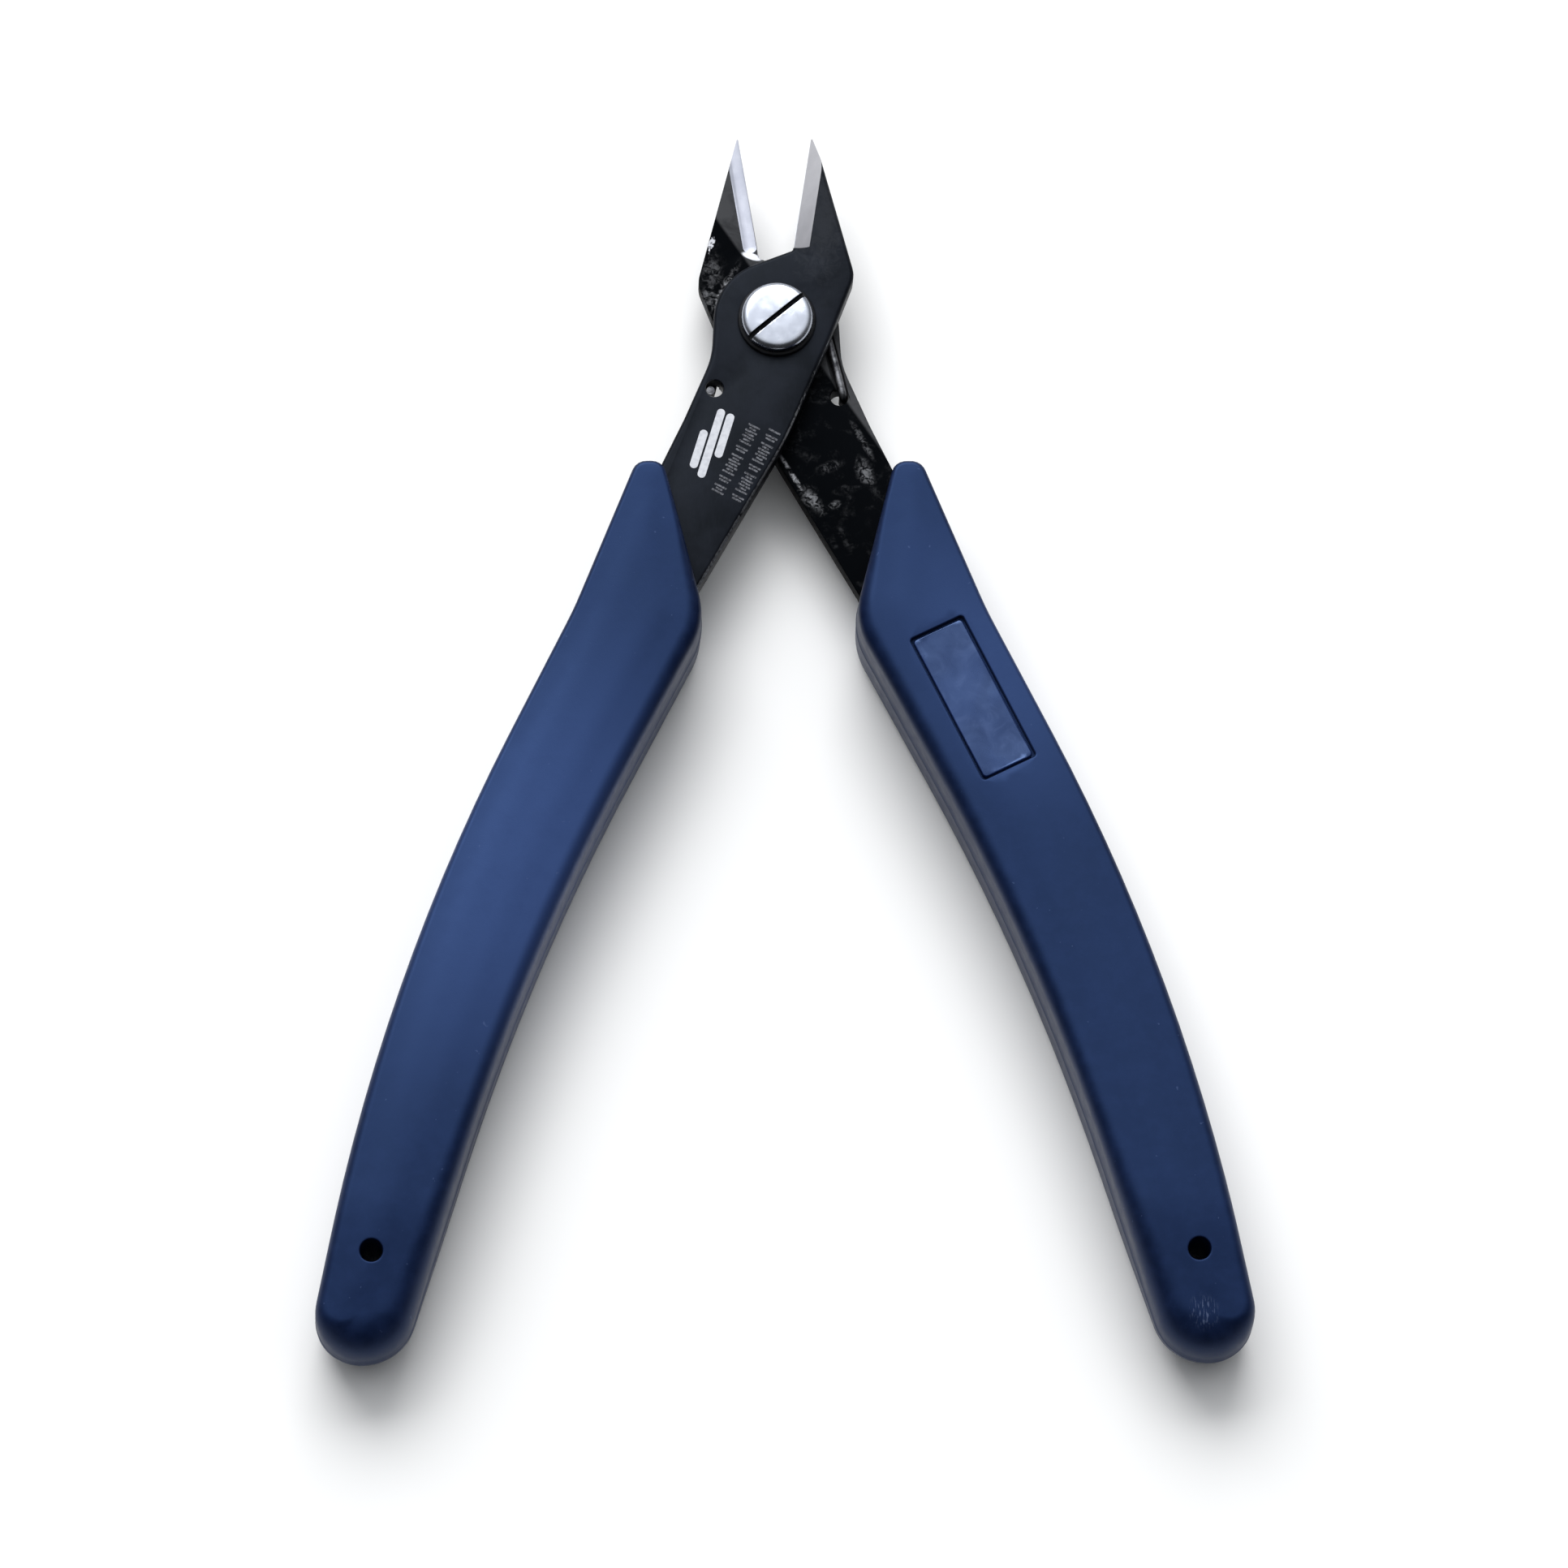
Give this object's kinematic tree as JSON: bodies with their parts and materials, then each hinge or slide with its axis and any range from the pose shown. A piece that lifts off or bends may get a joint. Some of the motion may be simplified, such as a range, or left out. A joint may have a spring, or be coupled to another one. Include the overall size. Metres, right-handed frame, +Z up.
{
  "type": "flush cutter",
  "caption": "Small sprung shear cutter with two stamped steel levers on one slotted pivot screw, moulded grips and flush-ground jaws, shown open.",
  "frame": {"origin": "middle of the tool's footprint on the bench, under the lowest faces of the grips", "axes": "+Y from the handle ends to the cutting tips along the tool's centre line, +Z up out of the face that carries the screw's slotted head, +X to the right seen from above"},
  "size_m": [0.0864, 0.1206, 0.011],
  "materials": {
    "blackened_steel": "black oxide, satin, with bright ground cutting bevels",
    "plated_screw": "bright plated, lightly turned",
    "washer_steel": "dark spring steel",
    "spring_wire": "drawn music wire",
    "grip_vinyl": "satin navy, finely mottled",
    "label_film": "glossy blue, plain"
  },
  "bodies": {
    "rear_half": {"rear_lever": "blackened_steel", "right_grip": "grip_vinyl", "label_plate": "label_film", "pivot_screw": "plated_screw", "pivot_washer": "washer_steel", "return_spring": "spring_wire"},
    "front_half": {"front_lever": "blackened_steel", "left_grip": "grip_vinyl"}
  },
  "joints": [
    {"name": "pivot_hinge", "type": "hinge", "parent": "rear_half", "child": "front_half", "pos_m": [0, 0.0411, 0.0055], "axis": [0, 0, 1], "range_deg": [0, 21], "stiffness_Nm_per_rad": 0.35, "springref_deg": -2.86, "deforming": ["return_spring"]}
  ]
}
